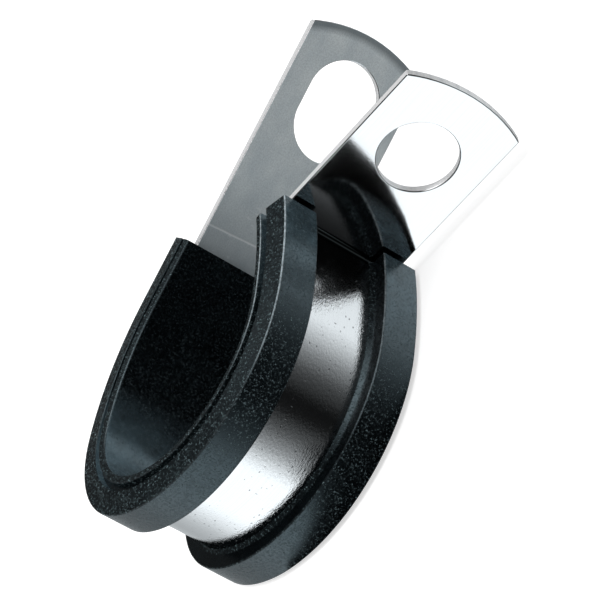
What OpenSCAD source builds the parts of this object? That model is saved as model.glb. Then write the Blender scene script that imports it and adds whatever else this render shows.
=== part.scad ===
// Rubber-lined steel P-clip, sprung open as it is supplied.
// One strap is bent into a loop with a long back leg and a short front ear.
// A rubber liner wraps the loop and grips the edges of the strap.
// Frame: the bundle runs along Z, the back leg points along +Y, the front is +X.
// The origin is on the axis of the bundle seat, in the middle of the strap's width.

/* [Bundle seat] */
// Diameter of the bundle that the seat fits
bundle_d = 28; // [20:1:40]
// Turn of the strap round the seat, degrees
seat_turn = 112; // [108:1:124]

/* [Rest of the loop] */
// Outer radius of the strap where the loop leaves the back leg
back_r = 29; // [22:1:40]
// Turn of that stretch, degrees
back_turn = 31; // [20:1:36]
// Outer radius of the strap at the tight base of the loop
base_r = 11.1; // [9:0.1:14]
// Turn of the base, degrees
base_turn = 75; // [66:1:80]
// Outer radius of the strap at the nearly straight front
front_r = 48; // [30:1:70]
// Turn of the front, degrees
front_turn = 14; // [6:1:18]

/* [Strap] */
// Width of the strap
strap_w = 15; // [12:0.5:25]
// Thickness of the strap
strap_t = 1; // [0.6:0.1:1.4]
// Radius in the hollow of the bend between the loop and the front ear
bend_r = 0.5; // [0.3:0.1:1]

/* [Ears] */
// Angle between the back leg and the front ear, degrees
open_angle = 35; // [25:1:45]
// Straight length of the back leg, up to the corners of its tip
leg_l = 35.9; // [32:0.1:50]
// Straight length of the front ear, up to the corners of its tip
ear_l = 20.5; // [17:0.1:30]
// Height of the rounded tips above their corners
tip_h = 1.7; // [1:0.1:4]
// Diameter of the round hole in the front ear
hole_d = 8.8; // [5:0.1:9.5]
// Width of the slot in the back leg
slot_w = 8.8; // [5:0.1:9.5]
// Length of the slot in the back leg
slot_l = 11.8; // [10:0.1:13]
// Distance from the hole to the corners of the front ear
hole_in = 7.5; // [6:0.1:9]
// Distance from the slot to the corners of the back leg
slot_in = 7.5; // [7:0.1:10]

/* [Liner] */
// Thickness of the pad between the strap and the bundle
pad_t = 1.25; // [0.9:0.05:2.5]
// Rubber outside each edge of the strap
side_t = 1.9; // [1.6:0.1:2.5]
// Height of the lips above the strap
lip_t = 2.15; // [1.6:0.05:3]
// Width of each lip, from the side of the liner
lip_w = 4.9; // [4.2:0.1:5.8]
// Height of the liner's end above the loop, along the back leg
liner_up = 8; // [4:0.5:14]
// Gap between the liner and the strap
fit_gap = 0.05; // [0.02:0.01:0.1]

/* [Liner edges] */
// Radius of the bead's rounded inner edge
bead_r = 0.7; // [0.4:0.1:0.8]
// Flat of the bead beside the groove
bead_flat = 0.25; // [0.1:0.05:0.4]
// Width of the groove in each side of the liner
groove_w = 0.7; // [0.4:0.1:0.9]
// Depth of that groove
groove_d = 0.8; // [0.4:0.1:0.9]
// Slant of the side face, from the groove out to the lip
side_slant = 0.45; // [0.1:0.05:0.6]
// Height of the lip's thin foot
foot_h = 0.5; // [0.2:0.1:0.7]
// Reach of the lip's thin foot over the strap
foot_w = 0.5; // [0.2:0.1:0.8]
// Radius of the lip's edges
lip_r = 0.45; // [0.2:0.05:0.6]

/* [Hidden] */
$fn = 96;
round_steps = 5;
liner_w = strap_w + 2*side_t;
seat_r = bundle_d/2 + pad_t + strap_t;

// The strap's outer face as a route: each arc is [outer radius, turn], in order.
arcs = [[back_r, back_turn], [base_r, base_turn], [seat_r, seat_turn], [front_r, front_turn]];
seat_index = 2;
down = -90;
neck_turn = down + back_turn + base_turn + seat_turn + front_turn;
ear_turn = 90 - open_angle;
bend_turn = neck_turn - ear_turn;

// Direction of travel at the start of arc i, and the point of the outer face there,
// worked out from the seat's centre, which is the origin.
function sum_turn(i) = i == 0 ? down : sum_turn(i - 1) + arcs[i - 1][1];
function outward(a) = [sin(a), -cos(a)];
function along(a) = [cos(a), sin(a)];
function centre(i) =
    i == seat_index ? [0, 0] :
    i < seat_index ? centre(i + 1) + (arcs[i + 1][0] - arcs[i][0])*outward(sum_turn(i + 1)) :
    centre(i - 1) + (arcs[i - 1][0] - arcs[i][0])*outward(sum_turn(i));
loop_start = centre(0) + arcs[0][0]*outward(down);
neck = centre(3) + arcs[3][0]*outward(neck_turn);
bend_centre = neck + bend_r*outward(neck_turn);
ear_start = bend_centre - bend_r*outward(ear_turn);

// Moves in a coarse and a fine step, which together keep more digits than one step,
// so that the pieces of one solid meet face to face.
module place(point) {
    coarse = [for (x = point) round(100*x)/100];
    translate(coarse) translate(point - coarse) children();
}

// A turn loses digits too, and so stretches what it turns by up to a millionth part.
// Two turns whose stretches cancel, and a third that makes up the angle, keep faces together.
function six_digits(x) = abs(x) < 1e-9 ? 0 : let(unit = pow(10, floor(log(abs(x))) - 5)) round(x/unit)*unit;
function kept(angle) = [six_digits(cos(angle)), six_digits(sin(angle))];
function kept_angle(angle) = atan2(kept(angle)[1], kept(angle)[0]);
module turn_to(angle) {
    stretch = [for (first = [0 : 90]) abs(norm(kept(first))*norm(kept(angle - first)) - 1)];
    first = [for (i = [0 : 90]) if (stretch[i] == min(stretch)) i][0];
    second = angle - first;
    rotate(first) rotate(second) rotate(angle - kept_angle(first) - kept_angle(second)) children();
}

// Places one arc of a section whose x is outward and whose y is along the bundle.
module arc_of(i) {
    place(centre(i)) rotate_extrude(start = sum_turn(i) - 90, angle = arcs[i][1])
        translate([arcs[i][0], 0]) children();
}

// A flat ear, drawn with x up to its tip and y along the bundle.
// Its thickness lies to the left of its direction, or to the right for the back leg.
module plate(start, turn, right_side = false) {
    place(start) turn_to(turn) rotate([90, 0, 0])
        translate([0, 0, right_side ? 0 : -strap_t]) linear_extrude(strap_t) children();
}

// Straight sides, a shallow arc between the corners of the tip, and one hole.
module ear_outline(length, hole_in) {
    tip_r = (pow(strap_w/2, 2) + tip_h*tip_h)/(2*tip_h);
    blend = min(length/2, tip_r - tip_h);
    difference() {
        union() {
            translate([0, -strap_w/2]) square([length - blend, strap_w]);
            intersection() {
                translate([length - blend, -strap_w/2]) square([blend + tip_h, strap_w]);
                translate([length + tip_h - tip_r, 0]) circle(tip_r);
            }
        }
        translate([length - hole_in, 0]) children();
    }
}

// A slot with round ends, along x.
module slot_outline(width, length) {
    square([length - width, width], center = true);
    for (end = [-1, 1]) translate([end*(length - width)/2, 0]) circle(d = width);
}

module strap_section() {
    translate([-strap_t, -strap_w/2]) square([strap_t, strap_w]);
}

// One edge of the liner's section, with y measured in from the side of the liner:
// from the bundle face out round the lip, and back over the strap.
function corner(c, r, from, to) =
    [for (i = [0 : round_steps]) c + r*along(from + (to - from)*i/round_steps)];
bundle_face = -(strap_t + pad_t);
groove_in = bundle_face + bead_r + bead_flat;
groove_out = groove_in + groove_w;
groove_ease = groove_w/6;
side_in = side_slant/4;
liner_edge = concat(
    corner([bundle_face + bead_r, bead_r], bead_r, 180, 270),
    [[groove_in, 0], [groove_in + groove_ease, groove_d]],
    [[groove_out - groove_ease, groove_d], [groove_out, side_in]],
    corner([lip_t - lip_r, side_in + side_slant + lip_r], lip_r, -80, 0),
    corner([lip_t - lip_r, lip_w - lip_r], lip_r, 0, 90),
    [[foot_h, lip_w], [fit_gap, lip_w + foot_w], [fit_gap, side_t - fit_gap]],
    [[-strap_t - fit_gap, side_t - fit_gap]]
);

// The channel that holds the strap: the edge above and its mirror image.
module liner_section() {
    translate([0, -liner_w/2])
        polygon(concat(liner_edge, [for (i = [len(liner_edge) - 1 : -1 : 0])
            [liner_edge[i][0], liner_w - liner_edge[i][1]]]));
}

module strap() {
    color("silver") union() {
        // back leg, with the slot that lets the two ears line up
        plate(loop_start, 90, right_side = true)
            ear_outline(leg_l, slot_in) slot_outline(slot_w, slot_l);
        for (i = [0 : 3]) arc_of(i) strap_section();
        // outward bend at the neck
        place(bend_centre) rotate_extrude(start = ear_turn + 90, angle = bend_turn)
            translate([bend_r, 0]) mirror([1, 0]) strap_section();
        // front ear, with the round hole
        plate(ear_start, ear_turn)
            ear_outline(ear_l, hole_in) circle(d = hole_d);
    }
}

module liner() {
    color("dimgray") union() {
        place(loop_start) rotate(down) rotate([90, 0, -90])
            linear_extrude(liner_up) liner_section();
        for (i = [0 : 3]) arc_of(i) liner_section();
    }
}

strap();
liner();
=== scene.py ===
# %% [markdown]
# A rubber-lined steel P-clip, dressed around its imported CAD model.
# The real clip is made from a flat strip of steel: it is blanked, pierced, and rolled into a loop.
# A length of extruded rubber channel is then pushed onto the loop. This script does the same:
# each piece is made flat, where it is easy to shape, and is then rolled along one shared route.

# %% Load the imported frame
import math

import bmesh
import bpy
from mathutils import Matrix, Vector


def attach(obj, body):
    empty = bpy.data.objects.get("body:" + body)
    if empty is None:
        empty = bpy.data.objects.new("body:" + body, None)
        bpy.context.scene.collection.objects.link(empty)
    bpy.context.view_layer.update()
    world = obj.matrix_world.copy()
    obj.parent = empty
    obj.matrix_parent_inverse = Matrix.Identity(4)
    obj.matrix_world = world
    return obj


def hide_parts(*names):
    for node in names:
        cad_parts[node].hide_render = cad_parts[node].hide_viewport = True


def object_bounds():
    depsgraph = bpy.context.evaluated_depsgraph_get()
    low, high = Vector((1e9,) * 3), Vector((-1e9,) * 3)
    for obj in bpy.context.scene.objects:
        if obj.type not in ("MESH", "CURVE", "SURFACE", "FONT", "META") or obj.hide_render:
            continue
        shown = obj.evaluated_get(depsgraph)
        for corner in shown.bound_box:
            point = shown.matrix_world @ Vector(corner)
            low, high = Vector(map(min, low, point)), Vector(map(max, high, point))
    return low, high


MM = 0.001
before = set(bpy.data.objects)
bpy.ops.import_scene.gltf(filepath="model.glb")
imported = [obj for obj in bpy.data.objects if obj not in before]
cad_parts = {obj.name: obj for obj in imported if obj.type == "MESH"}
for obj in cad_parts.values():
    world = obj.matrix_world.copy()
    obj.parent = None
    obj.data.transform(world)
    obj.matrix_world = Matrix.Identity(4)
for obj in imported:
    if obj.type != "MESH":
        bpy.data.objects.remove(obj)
cad_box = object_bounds()
cad_low, cad_high = Vector(cad_box[0]), Vector(cad_box[1])
print("CAD box, mm:", [round(v / MM, 2) for v in (*cad_low, *cad_high)])

# %% [markdown]
# The camera comes first. It looks down at the clip, which lies on its side, with a long lens,
# so that parallel edges stay nearly parallel. It is turned about its own axis by a large roll,
# which makes the clip seem to stand on its loop. It is placed by two angles and a distance.

# %% Camera
SENSOR = 36.0
LENS = 210.0
VIEW_AZIMUTH = math.radians(-5.05)
VIEW_ELEVATION = math.radians(25.36)
VIEW_ROLL = math.radians(-60.51)
VIEW_DISTANCE = 370.7 * MM
AIM_OFFSET = Vector((0.04, -0.32, -0.14)) * MM


def make_camera(aim, azimuth, elevation, roll, distance):
    """A camera that looks at a point from two angles, then turns about its own axis."""
    away = Vector((
        math.cos(elevation) * math.cos(azimuth),
        math.cos(elevation) * math.sin(azimuth),
        math.sin(elevation),
    ))
    data = bpy.data.cameras.new("camera")
    data.lens = LENS
    data.sensor_width = SENSOR
    camera = bpy.data.objects.new("camera", data)
    turn = (-away).to_track_quat("-Z", "Y").to_matrix().to_4x4()
    place = Matrix.Translation(aim + distance * away)
    camera.matrix_world = place @ turn @ Matrix.Rotation(roll, 4, "Z")
    bpy.context.scene.collection.objects.link(camera)
    bpy.context.scene.camera = camera
    return camera


clip_centre = (cad_low + cad_high) / 2
make_camera(clip_centre + AIM_OFFSET, VIEW_AZIMUTH, VIEW_ELEVATION, VIEW_ROLL, VIEW_DISTANCE)

# %% [markdown]
# The route is the path of the strap's outer face, seen along the bundle.
# It is a straight back leg, four arcs that blend into each other, a sharp outward bend, and a
# straight front ear. Each stretch needs only a length or a radius and a turn, in degrees.
# A function then gives the place and direction at any distance along it. The distance is zero
# where the back leg ends and the loop begins, so the leg has negative distances.

# %% The route of the strap
STRAP_W = 15 * MM
STRAP_T = 1 * MM
PAD_T = 1.25 * MM
BUNDLE_R = 14 * MM
SEAT_R = BUNDLE_R + PAD_T + STRAP_T
LEG_L = 35.9 * MM
EAR_L = 20.5 * MM
BEND_R = 0.5 * MM
OPEN_ANGLE = 35
LOOP_ARCS = [(29 * MM, 31), (11.1 * MM, 75), (SEAT_R, 112), (48 * MM, 14)]
SEAT_INDEX = 2


def along(turn):
    return Vector((math.cos(turn), math.sin(turn), 0))


def outward(turn):
    return Vector((math.sin(turn), -math.cos(turn), 0))


def make_route():
    """Stretches of the route: [start distance, length, start point, start turn, signed radius]."""
    turns = [math.radians(-90)]
    for _, turn in LOOP_ARCS:
        turns.append(turns[-1] + math.radians(turn))
    centres = {SEAT_INDEX: Vector((0, 0, 0))}
    for i in range(SEAT_INDEX - 1, -1, -1):
        change = LOOP_ARCS[i + 1][0] - LOOP_ARCS[i][0]
        centres[i] = centres[i + 1] + change * outward(turns[i + 1])
    for i in range(SEAT_INDEX + 1, len(LOOP_ARCS)):
        change = LOOP_ARCS[i - 1][0] - LOOP_ARCS[i][0]
        centres[i] = centres[i - 1] + change * outward(turns[i])
    stretches = []
    distance = 0.0
    for i, (radius, turn) in enumerate(LOOP_ARCS):
        length = radius * math.radians(turn)
        start = centres[i] + radius * outward(turns[i])
        stretches.append([distance, length, start, turns[i], radius])
        distance += length
    neck = centres[len(LOOP_ARCS) - 1] + LOOP_ARCS[-1][0] * outward(turns[-1])
    bend_turn = turns[-1] - math.radians(90 - OPEN_ANGLE)
    stretches.append([distance, BEND_R * bend_turn, neck, turns[-1], -BEND_R])
    distance += BEND_R * bend_turn
    return stretches, distance


ROUTE, EAR_START = make_route()
NECK = ROUTE[-1][0]


def route_at(distance):
    """The point of the strap's outer face at a distance, and the direction of travel there."""
    if distance <= 0:
        start = ROUTE[0]
        return start[2] + distance * along(start[3]), start[3]
    for begin, length, point, turn, radius in ROUTE:
        if distance <= begin + length:
            centre = point - radius * outward(turn)
            now = turn + (distance - begin) / radius
            return centre + radius * outward(now), now
    begin, length, point, turn, radius = ROUTE[-1]
    end_turn = turn + length / radius
    end = point - radius * outward(turn) + radius * outward(end_turn)
    return end + (distance - begin - length) * along(end_turn), end_turn


print("length of the strap, mm:", round((LEG_L + EAR_START + EAR_L) / MM, 2))

# %% [markdown]
# Rolling a flat piece to shape needs cross cuts in its mesh wherever it will bend.
# bisect_plane makes them, one for every few degrees of turn. Then each vertex moves: its X is
# the distance along the route, its Y is its place across the strap, and its Z is its height
# above the strap's outer face. The flat X and Y are kept as a UV map first, so that scratches
# and grain can follow the strip round the loop, as they do on the real one.

# %% Cut and roll a flat piece
TURN_STEP = math.radians(1.6)
BEND_STEP = math.radians(7)


def cross_cuts():
    """Distances along the route at which a rolled piece needs an edge across it."""
    cuts = [0.0]
    for begin, length, _, _, radius in ROUTE:
        step = BEND_STEP if radius < 0 else TURN_STEP
        count = max(1, math.ceil(length / abs(radius) / step))
        cuts += [begin + length * (i + 1) / count for i in range(count)]
    return cuts


def cut_across(bm, distances):
    low = min(v.co.x for v in bm.verts)
    high = max(v.co.x for v in bm.verts)
    for distance in distances:
        if low + 0.01 * MM < distance < high - 0.01 * MM:
            bmesh.ops.bisect_plane(
                bm, geom=bm.verts[:] + bm.edges[:] + bm.faces[:], dist=1e-8,
                plane_co=(distance, 0, 0), plane_no=(1, 0, 0),
            )


def keep_flat_map(bm):
    """A UV map in millimetres: u along the strip, v across it and round its edges."""
    layer = bm.loops.layers.uv.new("flat")
    for face in bm.faces:
        for loop in face.loops:
            co = loop.vert.co
            loop[layer].uv = (co.x / MM, (co.y + (co.z if abs(face.normal.y) > 0.7 else 0)) / MM)


def roll(bm):
    for vert in bm.verts:
        point, turn = route_at(vert.co.x)
        vert.co = point + vert.co.z * outward(turn) + Vector((0, 0, -vert.co.y))


def finish_mesh(bm, name):
    """Puts a bmesh into the scene as a smooth-shaded object at the origin."""
    mesh = bpy.data.meshes.new(name)
    bm.to_mesh(mesh)
    bm.free()
    piece = bpy.data.objects.new(name, mesh)
    bpy.context.scene.collection.objects.link(piece)
    for polygon in mesh.polygons:
        polygon.use_smooth = True
    return piece


def apply_modifiers(piece):
    """Replaces the mesh by what its modifiers make of it."""
    bpy.context.view_layer.update()
    evaluated = piece.evaluated_get(bpy.context.evaluated_depsgraph_get())
    mesh = bpy.data.meshes.new_from_object(evaluated)
    piece.modifiers.clear()
    piece.data = mesh


# %% [markdown]
# The strap is a blank of bright steel strip: straight sides, a shallow arc at each end, a round
# hole near one end and a slot near the other. A box is cut to that outline by Boolean
# modifiers, as a press tool would punch it. A Bevel modifier then takes the sharpness off all
# its edges at once, because every real edge catches a thin line of light.

# %% The flat blank
TIP_H = 1.7 * MM
HOLE_D = 8.8 * MM
HOLE_IN = 7.5 * MM
SLOT_L = 11.8 * MM
SLOT_IN = 7.5 * MM
EDGE_R = 0.13 * MM
ROUND_STEPS = 96


def prism(name, outline_maker, low, high):
    """A solid between two heights, from a function that puts one flat face into a bmesh."""
    bm = bmesh.new()
    outline_maker(bm)
    bmesh.ops.translate(bm, verts=bm.verts[:], vec=(0, 0, low))
    made = bmesh.ops.extrude_face_region(bm, geom=bm.faces[:])
    moved = [v for v in made["geom"] if isinstance(v, bmesh.types.BMVert)]
    bmesh.ops.translate(bm, verts=moved, vec=(0, 0, high - low))
    bmesh.ops.recalc_face_normals(bm, faces=bm.faces[:])
    return finish_mesh(bm, name)


def disc(bm, centre, radius):
    made = bmesh.ops.create_circle(bm, cap_ends=True, segments=ROUND_STEPS, radius=radius)
    bmesh.ops.translate(bm, verts=made["verts"], vec=centre)


def slot_shape(bm, centre, width, length):
    """A disc pulled apart in the middle: two half circles joined by straight sides."""
    disc(bm, centre, width / 2)
    for vert in bm.verts:
        side = 1 if vert.co.x > centre[0] else -1
        vert.co.x += side * (length - width) / 2


def cut_with(piece, cutter, operation):
    modifier = piece.modifiers.new(cutter.name, "BOOLEAN")
    modifier.operation = operation
    modifier.solver = "EXACT"
    modifier.object = cutter
    apply_modifiers(piece)
    bpy.data.objects.remove(cutter)


def rectangle(bm, x_low, x_high, width):
    bmesh.ops.create_grid(bm, x_segments=1, y_segments=1, size=0.5)
    bmesh.ops.scale(bm, verts=bm.verts[:], vec=(x_high - x_low, width, 1))
    bmesh.ops.translate(bm, verts=bm.verts[:], vec=((x_high + x_low) / 2, 0, 0))


def make_blank():
    ear_end = EAR_START + EAR_L
    tip_r = ((STRAP_W / 2) ** 2 + TIP_H**2) / (2 * TIP_H)
    blank = prism("strap_steel", lambda bm: rectangle(bm, -LEG_L - TIP_H, ear_end + TIP_H, STRAP_W),
                  -STRAP_T, 0)
    reach = STRAP_T
    for name, centre, span in (
        ("leg_tip", -LEG_L - TIP_H + tip_r, (-LEG_L - 2 * TIP_H, -LEG_L + 4 * TIP_H)),
        ("ear_tip", ear_end + TIP_H - tip_r, (ear_end - 4 * TIP_H, ear_end + 2 * TIP_H)),
    ):
        waste = prism(name, lambda bm: rectangle(bm, *span, 2 * STRAP_W), -STRAP_T - reach, reach)
        keep = prism(name + "_keep", lambda bm: disc(bm, (centre, 0, 0), tip_r),
                     -2 * STRAP_T - reach, 2 * reach)
        cut_with(waste, keep, "DIFFERENCE")
        cut_with(blank, waste, "DIFFERENCE")
    hole = prism("hole", lambda bm: disc(bm, (ear_end - HOLE_IN, 0, 0), HOLE_D / 2),
                 -STRAP_T - reach, reach)
    cut_with(blank, hole, "DIFFERENCE")
    slot = prism("slot", lambda bm: slot_shape(bm, (-LEG_L + SLOT_IN, 0, 0), HOLE_D, SLOT_L),
                 -STRAP_T - reach, reach)
    cut_with(blank, slot, "DIFFERENCE")
    rounding = blank.modifiers.new("edges", "BEVEL")
    rounding.width = EDGE_R
    rounding.segments = 3
    rounding.limit_method = "ANGLE"
    rounding.angle_limit = math.radians(40)
    apply_modifiers(blank)
    return blank


blank = make_blank()
print("blank, mm:", [round(v / MM, 2) for v in blank.dimensions], len(blank.data.polygons), "faces")

# %% [markdown]
# Some things are easy to tell while a piece is flat. The underside and the cut edges of the
# strip have their own finishes, so their faces take the second and third material. They are
# told apart by which way each face points.

# %% Roll the blank into the strap
def mark_strap(bm):
    for face in bm.faces:
        if face.normal.z < -0.9:
            face.material_index = 1
        elif abs(face.normal.z) < 0.1:
            face.material_index = 2


def roll_piece(piece, mark):
    bm = bmesh.new()
    bm.from_mesh(piece.data)
    cut_across(bm, cross_cuts())
    bmesh.ops.remove_doubles(bm, verts=bm.verts[:], dist=1e-7)
    bm.normal_update()
    keep_flat_map(bm)
    mark(bm)
    roll(bm)
    bmesh.ops.recalc_face_normals(bm, faces=bm.faces[:])
    bm.to_mesh(piece.data)
    bm.free()
    for polygon in piece.data.polygons:
        polygon.use_smooth = True
    return piece


def shade_by_angle(piece, degrees):
    """Keeps edges sharper than an angle crisp, and lets large flat faces stay flat."""
    limit = math.radians(degrees)
    bm = bmesh.new()
    bm.from_mesh(piece.data)
    for edge in bm.edges:
        if len(edge.link_faces) == 2:
            edge.smooth = edge.calc_face_angle(0) < limit
    bm.to_mesh(piece.data)
    bm.free()
    weighted = piece.modifiers.new("flat faces", "WEIGHTED_NORMAL")
    weighted.keep_sharp = True


strap_steel = roll_piece(blank, mark_strap)
shade_by_angle(strap_steel, 30)
print("strap, mm:", [round(v / MM, 2) for v in strap_steel.dimensions])

# %% [markdown]
# The liner is an extruded channel of black rubber. Its section has a pad under the strap and a
# lip over each edge. Each side has a rounded bead, a groove, and a slanting face. The
# section is one half outline, mirrored. Its corners are rounded where the die rounded them, by
# a bevel of single vertices. It is then drawn out along the route like the strap.

# %% The liner's section
SIDE_T = 1.9 * MM
LIP_T = 2.15 * MM
LIP_W = 4.9 * MM
LINER_UP = 8 * MM
FIT_GAP = 0.05 * MM
LINER_W = STRAP_W + 2 * SIDE_T
PAD_FACE = -(STRAP_T + PAD_T)
GROOVE_IN = PAD_FACE + 0.95 * MM
GROOVE_OUT = GROOVE_IN + 0.8 * MM
GROOVE_D = 0.9 * MM
SIDE_SLANT = 0.45 * MM

# How gritty each face of the rubber is. A face is told from another by this value too. Faces
# with none stay black, as painted shade.
GRIT_SKIN = 1.0
GRIT_LIP = 0.7
GRIT_BORE = 0.1
NO_GRIT_SHADE = 0.0

# Corners from the bundle face out round the lip and back over the strap:
# height above the strap, distance in from the side, radius of the corner.
HALF_SECTION = [
    (PAD_FACE, 0.14 * MM, 0.24 * MM),
    (GROOVE_IN, 0, 0.1 * MM),
    (GROOVE_IN + 0.12 * MM, GROOVE_D, 0.1 * MM),
    (GROOVE_OUT - 0.12 * MM, GROOVE_D, 0.1 * MM),
    (GROOVE_OUT, SIDE_SLANT / 4, 0.12 * MM),
    (LIP_T, SIDE_SLANT * 1.25, 0.2 * MM),
    (LIP_T, LIP_W, 0.2 * MM),
    (0.5 * MM, LIP_W, 0.15 * MM),
    (FIT_GAP, LIP_W + 0.5 * MM, 0.03 * MM),
    (FIT_GAP, SIDE_T - FIT_GAP, 0),
    (-STRAP_T - FIT_GAP, SIDE_T - FIT_GAP, 0),
]


# Edges paler from wear and with a painted highlight: height above the strap, distance in from the
# side, how far the rubbing reaches, and how strong it is. They are the two edges of the bead and the two
# corners of the lip.
WORN_LIT_EDGES = [
    (PAD_FACE, 0.14 * MM, 0.16 * MM, 0.6),
    (GROOVE_IN, 0, 0.12 * MM, 0.8),
    (LIP_T, SIDE_SLANT * 1.25, 0.14 * MM, 1.0),
    (LIP_T, LIP_W, 0.12 * MM, 0.35),
]


def section_face(bm, start):
    """One flat face across the strip at the start distance, with rounded corners."""
    verts, radii = [], []
    for side, corners in ((1, HALF_SECTION), (-1, HALF_SECTION[::-1])):
        for height, inward, radius in corners:
            verts.append(bm.verts.new((start, side * (LINER_W / 2 - inward), height)))
            radii.append(radius)
    bm.faces.new(verts)
    for vert, radius in zip(verts, radii):
        if radius > 0:
            before, after = (e.other_vert(vert).co - vert.co for e in vert.link_edges)
            half_turn = (math.pi - before.angle(after)) / 2
            bmesh.ops.bevel(bm, geom=[vert], offset=radius * math.tan(half_turn), segments=5,
                            profile=0.5, affect="VERTICES", offset_type="OFFSET", material=-1,
                            clamp_overlap=False)
    return bm.faces[:]


def make_liner():
    bm = bmesh.new()
    faces = section_face(bm, -LINER_UP)
    made = bmesh.ops.extrude_face_region(bm, geom=faces)
    moved = [v for v in made["geom"] if isinstance(v, bmesh.types.BMVert)]
    bmesh.ops.translate(bm, verts=moved, vec=(NECK + LINER_UP, 0, 0))
    bmesh.ops.recalc_face_normals(bm, faces=bm.faces[:])
    return finish_mesh(bm, "liner_rubber")


def mark_liner(bm):
    """An "edge" value for pale wear along the edges, which also carries a painted highlight there, and a
    "grit" value for the rough outer skin.
    """
    edge = bm.loops.layers.float.new("edge")
    grit = bm.loops.layers.float.new("grit")
    for face in bm.faces:
        middle = face.calc_center_median()
        inward = LINER_W / 2 - abs(middle.y)
        wear_and_highlight = 0.0
        for height, depth, reach, strength in WORN_LIT_EDGES:
            if math.hypot(middle.z - height, inward - depth) < reach:
                wear_and_highlight = strength
        skin = GRIT_SKIN
        if face.normal.z < -0.9:
            skin = GRIT_BORE
        elif face.normal.z > 0.9:
            skin = GRIT_LIP
        # painted shade: the lips' inner walls and the groove get no grit, so they stay black
        elif inward > SIDE_T and abs(face.normal.z) < 0.2:
            skin = NO_GRIT_SHADE
        elif inward > SIDE_SLANT / 2 and GROOVE_IN < middle.z < GROOVE_OUT:
            skin = NO_GRIT_SHADE
        for loop in face.loops:
            loop[edge] = wear_and_highlight
            loop[grit] = skin


liner_rubber = make_liner()
print("liner drawn out, mm:", [round(v / MM, 2) for v in liner_rubber.dimensions])
roll_piece(liner_rubber, mark_liner)
shade_by_angle(liner_rubber, 30)
print("liner, mm:", [round(v / MM, 2) for v in liner_rubber.dimensions])

# %% [markdown]
# Materials are built from nodes. A small helper adds a node, sets its inputs by name or
# number, and links it, so that each recipe reads from top to bottom.

# %% Material helpers
def new_material(name):
    material = bpy.data.materials.new(name)
    material.use_nodes = True
    tree = material.node_tree
    shader = tree.nodes["Principled BSDF"]
    return material, tree, shader


def add(tree, kind, settings=None, **inputs):
    """Adds a node. Inputs are given by name; an output socket is linked, and a value is set."""
    node = tree.nodes.new(kind)
    for key, value in (settings or {}).items():
        setattr(node, key, value)
    for key, value in inputs.items():
        socket = node.inputs[int(key[1:])] if key[1:].isdigit() else node.inputs[key.replace("_", " ")]
        if isinstance(value, bpy.types.NodeSocket):
            tree.links.new(value, socket)
        else:
            socket.default_value = value
    return node


def math_node(tree, operation, a, b=0.0):
    return add(tree, "ShaderNodeMath", {"operation": operation}, i0=a, i1=b).outputs[0]


def close_to(tree, value, target, reach):
    """One where a value is within reach of a target, and nought elsewhere."""
    node = add(tree, "ShaderNodeMath", {"operation": "COMPARE"}, i0=value, i1=target, i2=reach)
    return node.outputs[0]


def fade(tree, value, start, end, at_start=0.0, at_end=1.0):
    """A straight fade from one number to another while a value goes from start to end."""
    node = add(tree, "ShaderNodeMapRange", Value=value, From_Min=start, From_Max=end,
               To_Min=at_start, To_Max=at_end)
    return node.outputs[0]


def ramp(tree, factor, *stops):
    """A grey or colour ramp from (position, value) stops."""
    node = add(tree, "ShaderNodeValToRGB", i0=factor)
    elements = node.color_ramp.elements
    while len(elements) < len(stops):
        elements.new(0.5)
    for element, (position, value) in zip(elements, stops):
        element.position = position
        element.color = (*value, 1) if isinstance(value, tuple) else (value, value, value, 1)
    return node.outputs[0]


def noise(tree, vector, scale, detail=4.0, roughness=0.55):
    node = add(tree, "ShaderNodeTexNoise", Vector=vector, Scale=scale, Detail=detail,
               Roughness=roughness)
    return node.outputs[0]


def scaled(tree, vector, scale):
    return add(tree, "ShaderNodeMapping", {"vector_type": "POINT"}, Vector=vector, Scale=scale).outputs[0]


# %% [markdown]
# The steel is bright rolled strip with a thin zinc coat. Its outer face is almost a mirror. Very
# fine rolling lines run along the strip, so it is a little more blurred across than along, which
# is anisotropy. A weak bump of small dimples breaks up whatever it reflects, and short dark
# flecks are nicks in the coat. All patterns use the flat map, so they follow the strip.

# %% Bright steel
def flecks(tree, vector, chance, size):
    """Small separate marks of uneven strength, near the middles of some cells of a Voronoi pattern."""
    cells = add(tree, "ShaderNodeTexVoronoi", Vector=vector, Scale=1.0, Randomness=1.0)
    near = ramp(tree, cells.outputs["Distance"], (size * 0.6, 1.0), (size, 0.0))
    lot = add(tree, "ShaderNodeSeparateColor", Color=cells.outputs["Color"]).outputs[0]
    chosen = ramp(tree, lot, (0.0, 1.0), (chance, 0.25), (chance + 0.001, 0.0))
    return math_node(tree, "MULTIPLY", near, chosen)


def mix_colour(tree, factor, first, second):
    node = add(tree, "ShaderNodeMix", {"data_type": "RGBA"}, i0=factor, i6=first, i7=second)
    return node.outputs[2]


def bump(tree, height, strength, distance, normal=None):
    node = add(tree, "ShaderNodeBump", Strength=strength, Distance=distance, Height=height)
    if normal is not None:
        tree.links.new(normal, node.inputs["Normal"])
    return node.outputs[0]


def times_plus(tree, value, factor, extra):
    node = add(tree, "ShaderNodeMath", {"operation": "MULTIPLY_ADD"}, i0=value, i1=factor, i2=extra)
    return node.outputs[0]


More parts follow.
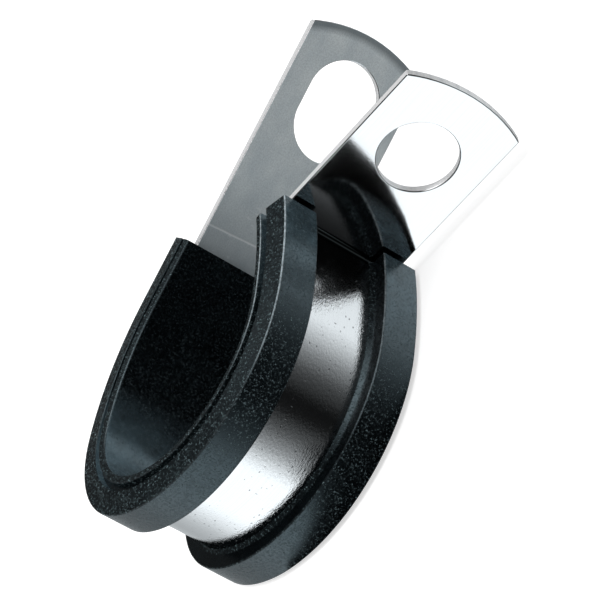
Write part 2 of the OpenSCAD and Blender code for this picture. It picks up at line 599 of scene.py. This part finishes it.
def make_steel():
    material, tree, shader = new_material("bright steel")
    flat = add(tree, "ShaderNodeUVMap", {"uv_map": "flat"}).outputs[0]
    lines = noise(tree, scaled(tree, flat, (0.06, 11, 1)), 1.0, 3)
    strip = add(tree, "ShaderNodeSeparateXYZ", Vector=flat).outputs
    dimples = noise(tree, scaled(tree, flat, (2.6, 4.6, 1)), 1.0, 3, 0.6)
    stain = noise(tree, scaled(tree, flat, (0.3, 0.45, 1)), 1.0, 5, 0.65)
    nicks = math_node(tree, "MAXIMUM", flecks(tree, scaled(tree, flat, (1.3, 2.6, 1)), 0.4, 0.2),
                      flecks(tree, scaled(tree, flat, (2.6, 0.9, 1)), 0.2, 0.16))
    # rolling the loop roughens the skin, and the flat front ear stays smooth
    rolled = fade(tree, strip[0], NECK / MM - 2, NECK / MM, 1.0, 0.06)
    dull = math_node(tree, "MULTIPLY", ramp(tree, stain, (0.4, 0.0), (0.75, 1.0)), rolled)
    tone = ramp(tree, lines, (0.3, (0.82, 0.83, 0.84)), (0.7, (0.88, 0.885, 0.89)))
    tone = mix_colour(tree, math_node(tree, "MULTIPLY", nicks, rolled), tone, (0.35, 0.36, 0.37, 1))
    # painted shade: the sharp bend at the neck is painted near black, as shade in its crease
    painted_bend_shade = close_to(tree, strip[0], (NECK + EAR_START) / 2 / MM, 0.45)
    tone = mix_colour(tree, painted_bend_shade, tone, (0.06, 0.07, 0.07, 1))
    tree.links.new(tone, shader.inputs["Base Color"])
    tree.links.new(times_plus(tree, dull, 0.08, 0.06), shader.inputs["Roughness"])
    shader.inputs["Metallic"].default_value = 1.0
    shader.inputs["Anisotropic"].default_value = 0.35
    tangent = add(tree, "ShaderNodeTangent", {"direction_type": "UV_MAP", "uv_map": "flat"}).outputs[0]
    tree.links.new(tangent, shader.inputs["Tangent"])
    surface = bump(tree, math_node(tree, "MULTIPLY", dimples, rolled), 0.5, 0.00004)
    surface = bump(tree, math_node(tree, "MULTIPLY", lines, rolled), 0.1, 0.00001, surface)
    surface = bump(tree, math_node(tree, "MULTIPLY", nicks, rolled), 0.4, 0.00003, surface)
    tree.links.new(surface, shader.inputs["Normal"])
    return material


# %% [markdown]
# The inner face of the strip is dull: it was the underside in the plating bath and in the press.
# It scatters light, so it has a low metallic value and a high roughness, in a cool grey.
# Rubbing has left pale scuffs, and the press has left a darker rim along the tip.
# A faint crease crosses the leg just above the end of the rubber, with a painted highlight along
# it. Painted shade darkens the leg towards the end of the rubber.

# %% Dull inner face
def make_dull_steel():
    material, tree, shader = new_material("dull steel")
    flat = add(tree, "ShaderNodeUVMap", {"uv_map": "flat"}).outputs[0]
    strip = add(tree, "ShaderNodeSeparateXYZ", Vector=flat).outputs
    cloud = noise(tree, scaled(tree, flat, (0.16, 0.3, 1)), 1.0, 5, 0.6)
    grain = noise(tree, scaled(tree, flat, (5, 7, 1)), 1.0, 2, 0.6)
    scuffs = noise(tree, scaled(tree, flat, (1.6, 0.5, 1)), 1.0, 5, 0.75)
    tone = ramp(tree, cloud, (0.3, (0.68, 0.76, 0.80)), (0.7, (0.92, 0.99, 1.0)))
    tone = mix_colour(tree, ramp(tree, grain, (0.35, 0.25), (0.65, 0.0)), tone, (0.15, 0.18, 0.2, 1))
    # painted shade: the leg is painted darker towards the end of the rubber
    liner_end_shade = fade(tree, strip[0], -LINER_UP / MM - 10, -LINER_UP / MM, 0.0, 0.55)
    tone = mix_colour(tree, liner_end_shade, tone, (0.24, 0.29, 0.32, 1))
    tone = mix_colour(tree, ramp(tree, scuffs, (0.58, 0.0), (0.72, 0.6)), tone, (0.95, 0.98, 1.0, 1))

    # distance from the middle of the tip's arc shows how near a point is to the rim
    tip_r = ((STRAP_W / 2) ** 2 + TIP_H**2) / (2 * TIP_H) / MM
    from_middle = add(tree, "ShaderNodeVectorMath", {"operation": "DISTANCE"}, i0=flat,
                      i1=((-LEG_L - TIP_H) / MM + tip_r, 0, 0)).outputs["Value"]
    rim = fade(tree, from_middle, tip_r - 1.3, tip_r - 0.5)
    on_leg = math_node(tree, "LESS_THAN", strip[0], (-LEG_L + 4 * MM) / MM)
    rim = times_plus(tree, rim, math_node(tree, "MULTIPLY", on_leg, 0.7), 0)
    tone = mix_colour(tree, rim, tone, (0.10, 0.13, 0.15, 1))

    # the crease: a thin slanting line across the strip, a bump with a painted highlight along it
    slanted = times_plus(tree, strip[1], 0.06, (LINER_UP + 3.2 * MM) / MM)
    off_crease = math_node(tree, "ABSOLUTE", math_node(tree, "ADD", strip[0], slanted))
    crease = ramp(tree, off_crease, (0.06, 1.0), (0.16, 0.0))
    tone = mix_colour(tree, math_node(tree, "MULTIPLY", crease, 0.5), tone, (0.95, 0.98, 1.0, 1))
    tree.links.new(tone, shader.inputs["Base Color"])
    tree.links.new(ramp(tree, grain, (0.3, 0.38), (0.7, 0.5)), shader.inputs["Roughness"])
    shader.inputs["Metallic"].default_value = 0.3
    surface = bump(tree, grain, 0.25, 0.00002)
    surface = bump(tree, crease, 0.4, 0.00004, surface)
    tree.links.new(surface, shader.inputs["Normal"])
    return material


# %% [markdown]
# The cut edges are where the blade sheared the strip. They are bright bare steel with fine
# tear marks across the thickness, and too rough to mirror anything.

# %% Cut edges
def make_cut_steel():
    material, tree, shader = new_material("cut steel")
    flat = add(tree, "ShaderNodeUVMap", {"uv_map": "flat"}).outputs[0]
    tears = noise(tree, scaled(tree, flat, (7, 1.2, 1)), 1.0, 3, 0.7)
    tree.links.new(ramp(tree, tears, (0.3, (0.80, 0.82, 0.84)), (0.6, (0.97, 0.97, 0.97))),
                   shader.inputs["Base Color"])
    tree.links.new(ramp(tree, tears, (0.3, 0.5), (0.7, 0.36)), shader.inputs["Roughness"])
    shader.inputs["Metallic"].default_value = 0.4
    tree.links.new(bump(tree, tears, 0.3, 0.00003), shader.inputs["Normal"])
    return material


# %% [markdown]
# The rubber is black with a satin skin. It has next to no colour of its own, so what shows is
# its gloss. The outer skin is full of fine grit that the die dragged out, and the bundle face is
# smoother. The groove and the lips' inner walls get no grit and stay black, as painted shade.
# Along its edges the rubber is paler from wear, and this paler colour also carries a painted
# highlight, strongest by the neck. The "edge" and "grit" values on the mesh say where. Painted
# light lies on the bundle face, brightest at the bottom of the loop and towards the near rim, and
# a painted sheen greys the outer faces of the lips by the neck.

# %% Rubber
BORE_LIGHT_MIDDLE = 21.0
BORE_LIGHT_REACH = 11.0


def make_rubber():
    material, tree, shader = new_material("black rubber")
    place = add(tree, "ShaderNodeTexCoord").outputs["Object"]
    flat = add(tree, "ShaderNodeUVMap", {"uv_map": "flat"}).outputs[0]
    strip = add(tree, "ShaderNodeSeparateXYZ", Vector=flat).outputs
    edge = add(tree, "ShaderNodeAttribute", {"attribute_name": "edge"}).outputs["Fac"]
    skin = add(tree, "ShaderNodeAttribute", {"attribute_name": "grit"}).outputs["Fac"]
    grain = noise(tree, place, 5200, 3, 0.65)
    patches = noise(tree, place, 260, 4, 0.6)
    wear = noise(tree, place, 1500, 4, 0.7)
    cloudy = ramp(tree, noise(tree, place, 420, 5, 0.7), (0.3, 0.3), (0.65, 1.0))
    grit = ramp(tree, noise(tree, place, 4300, 2, 0.8), (0.57, 0.0), (0.70, 1.0))
    base = ramp(tree, patches, (0.35, (0.001, 0.0015, 0.002)), (0.7, (0.003, 0.005, 0.006)))
    base = mix_colour(tree, math_node(tree, "MULTIPLY", grit, skin), base, (0.19, 0.27, 0.29, 1))

    # painted light on the bundle face, brightest at the bottom of the loop and towards the near rim,
    # and a painted sheen on the lips by the neck
    neck = NECK / MM
    from_bottom = math_node(tree, "ABSOLUTE", math_node(tree, "SUBTRACT", strip[0], BORE_LIGHT_MIDDLE))
    bore_light = fade(tree, from_bottom, 0.0, BORE_LIGHT_REACH, 1.0, 0.0)
    bore_light = math_node(tree, "MULTIPLY", bore_light, fade(tree, strip[1], -9.0, 5.0, 1.0, 0.15))
    bore_light = math_node(tree, "MULTIPLY", bore_light, close_to(tree, skin, GRIT_BORE, 0.05))
    # painted sheen: the outer faces of the lips are painted greyer by the neck
    lip_sheen = math_node(tree, "MULTIPLY", fade(tree, strip[0], neck - 13, neck - 5),
                       close_to(tree, skin, GRIT_LIP, 0.05))
    lip_sheen = math_node(tree, "MULTIPLY", lip_sheen, 0.45)
    # pale carries the painted light of the bundle face and the painted sheen of the lips
    pale = math_node(tree, "MULTIPLY", math_node(tree, "MAXIMUM", bore_light, lip_sheen), cloudy)
    base = mix_colour(tree, pale, base, (0.16, 0.25, 0.30, 1))

    # edges paler from wear, with a painted highlight that fades away from the neck
    near_neck = fade(tree, strip[0], neck - 22, neck - 9, 0.05, 1.0)
    patchy = ramp(tree, wear, (0.35, 0.35), (0.6, 1.0))
    edge_wear_and_highlight = math_node(tree, "MULTIPLY", math_node(tree, "MULTIPLY", edge, patchy), near_neck)
    base = mix_colour(tree, edge_wear_and_highlight, base, (0.50, 0.58, 0.62, 1))
    tree.links.new(base, shader.inputs["Base Color"])
    tree.links.new(ramp(tree, wear, (0.35, 0.20), (0.65, 0.32)), shader.inputs["Roughness"])
    shader.inputs["Specular IOR Level"].default_value = 1.0
    shader.inputs["Specular Tint"].default_value = (0.68, 0.90, 1.0, 1)
    depth = times_plus(tree, skin, 0.8, 0.2)
    surface = bump(tree, math_node(tree, "MULTIPLY", grain, depth), 0.25, 0.00003)
    surface = bump(tree, math_node(tree, "MULTIPLY", grit, depth), 0.9, 0.00008, surface)
    tree.links.new(surface, shader.inputs["Normal"])
    return material


# %% [markdown]
# Each piece takes the place of its CAD node. Both nodes belong to the one body of the part, so
# both pieces ride on it.

# %% Give each piece its finish and its place in the frame
def dress(piece, materials, node):
    for material in materials:
        piece.data.materials.append(material)
    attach(piece, "root")
    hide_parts(node)


dress(strap_steel, [make_steel(), make_dull_steel(), make_cut_steel()], "strap")
dress(liner_rubber, [make_rubber()], "liner")

# %% [markdown]
# The clip lies on a plain pale floor in soft light. Seen directly the floor is white, and it
# keeps a soft shadow. Metal shows what is round it, and a studio is bright on some sides and
# dark on the side where the photographer stands. So reflections see a sky that changes
# with the compass direction, and the floor is left out of them.

# %% Floor
FLOOR_SIZE = 1.2
FLOOR_GREY = 0.62


def make_floor():
    material, tree, shader = new_material("pale floor")
    shader.inputs["Base Color"].default_value = (FLOOR_GREY, FLOOR_GREY, FLOOR_GREY, 1)
    shader.inputs["Roughness"].default_value = 0.9
    shader.inputs["Specular IOR Level"].default_value = 0.0
    camera_ray = add(tree, "ShaderNodeLightPath").outputs["Is Camera Ray"]
    shine = math_node(tree, "MULTIPLY", camera_ray, FLOOR_GREY)
    glow = add(tree, "ShaderNodeEmission", Color=(1, 1, 1, 1), Strength=shine)
    both = add(tree, "ShaderNodeAddShader", i0=shader.outputs[0], i1=glow.outputs[0])
    tree.links.new(both.outputs[0], tree.nodes["Material Output"].inputs["Surface"])
    bm = bmesh.new()
    bmesh.ops.create_grid(bm, x_segments=1, y_segments=1, size=FLOOR_SIZE / 2)
    bmesh.ops.translate(bm, verts=bm.verts[:], vec=(0, 0, cad_low.z))
    floor = finish_mesh(bm, "floor")
    floor.data.materials.append(material)
    floor.visible_glossy = False


make_floor()

# %% [markdown]
# The sky is a ramp round the compass, for what lies low down on each side. It gives way to dark
# walls above the horizon and far below it. One soft patch overhead picks out the edges that
# face up. What is seen by way of two faces is darker, because in a real studio the clip's own
# shadowed sides would stand there.

# %% Sky seen in reflections
# Compass direction in degrees from +X, and how bright the studio is low down on that side.
SKY = [
    (-180, 0.6), (-145, 0.45), (-125, 0.6), (-95, 1.25), (-50, 1.25), (-30, 0.35), (-15, 0.1),
    (0, 0.01), (15, 0.005), (35, 0.07), (50, 0.25), (80, 0.95), (110, 0.8), (150, 0.6), (180, 0.6),
]
WALLS = 0.05
OVERHEAD = 2.5
SECOND_BOUNCE = 0.1
SOFT_LIGHT = 0.32


def grey(value):
    return (value, value, value, 1)


def cool(value):
    return (value * 0.94, value, value * 1.03)


def make_world():
    world = bpy.data.worlds.new("studio")
    bpy.context.scene.world = world
    world.use_nodes = True
    tree = world.node_tree
    background = tree.nodes["Background"]
    seen_along = add(tree, "ShaderNodeTexCoord").outputs["Generated"]
    direction = add(tree, "ShaderNodeSeparateXYZ", Vector=seen_along).outputs
    compass = math_node(tree, "ARCTAN2", direction[1], direction[0])
    turn = fade(tree, compass, -math.pi, math.pi)
    stops = [((angle + 180) / 360, cool(value)) for angle, value in SKY]
    brightness = ramp(tree, turn, *stops)
    above = fade(tree, direction[2], -0.28, 0.0)
    below = fade(tree, direction[2], -0.55, -0.8)
    brightness = mix_colour(tree, math_node(tree, "MAXIMUM", above, below), brightness, grey(WALLS))
    patch = math_node(tree, "MULTIPLY", fade(tree, direction[2], 0.65, 0.85),
                      fade(tree, direction[1], 0.0, 0.4))
    brightness = mix_colour(tree, patch, brightness, grey(OVERHEAD))

    # the ray depth is 1 for the camera's own rays, and one more after each face
    path = add(tree, "ShaderNodeLightPath").outputs
    again = math_node(tree, "GREATER_THAN", path["Ray Depth"], 2.5)
    again = math_node(tree, "MULTIPLY", again, math_node(tree, "LESS_THAN", direction[1], 0.2))
    again = math_node(tree, "MULTIPLY", again, 1 - SECOND_BOUNCE)
    brightness = mix_colour(tree, again, brightness, grey(0))
    seen = mix_colour(tree, path["Is Glossy Ray"], grey(SOFT_LIGHT), brightness)
    white = mix_colour(tree, path["Is Camera Ray"], seen, grey(1))
    tree.links.new(white, background.inputs["Color"])


make_world()

# %% [markdown]
# This black card is a painted shadow. It lies just under the floor, next to the loop, and stands
# for the dark shadow and contact area under the clip. Only reflections see it, and the foot of
# the front ear turns black in it.

# %% Black card, a painted shadow seen only in reflections
# Corners of the card on the floor, in millimetres.
CARD_CORNERS = [(29, -6), (21, 5.5), (13.5, 13.5), (8.5, 18), (0, 22), (-4, 0), (12, -17), (25, -13)]
CARD_DROP = 0.1 * MM


def make_shade_card():
    material, tree, shader = new_material("black card")
    shader.inputs["Base Color"].default_value = grey(0.002)
    shader.inputs["Specular IOR Level"].default_value = 0.0
    bm = bmesh.new()
    height = cad_low.z - CARD_DROP
    bm.faces.new([bm.verts.new((x * MM, y * MM, height)) for x, y in CARD_CORNERS])
    card = finish_mesh(bm, "card")
    card.data.materials.append(material)
    card.visible_camera = False
    card.visible_diffuse = False
    card.visible_transmission = False
    card.visible_shadow = False


make_shade_card()

# %% [markdown]
# Two large soft lamps model the matt faces and lay a soft shadow on the floor. Reflections don't
# see them, because the sky already gives the metal its highlights.

# %% Lamps
def make_lamp(name, place, size, power):
    """A soft square lamp that faces the clip."""
    data = bpy.data.lights.new(name, "AREA")
    data.size = size
    data.energy = power
    lamp = bpy.data.objects.new(name, data)
    place = Vector(place)
    turn = (clip_centre - place).to_track_quat("-Z", "Y").to_matrix().to_4x4()
    lamp.matrix_world = Matrix.Translation(place) @ turn
    lamp.visible_glossy = False
    bpy.context.scene.collection.objects.link(lamp)


make_lamp("top light", (0.05, 0.02, 0.45), 0.4, 1.7)
make_lamp("left light", (-0.1, -0.35, 0.25), 0.3, 0.9)

# %% [markdown]

# %% Finish
bpy.context.scene.view_settings.view_transform = "Standard"
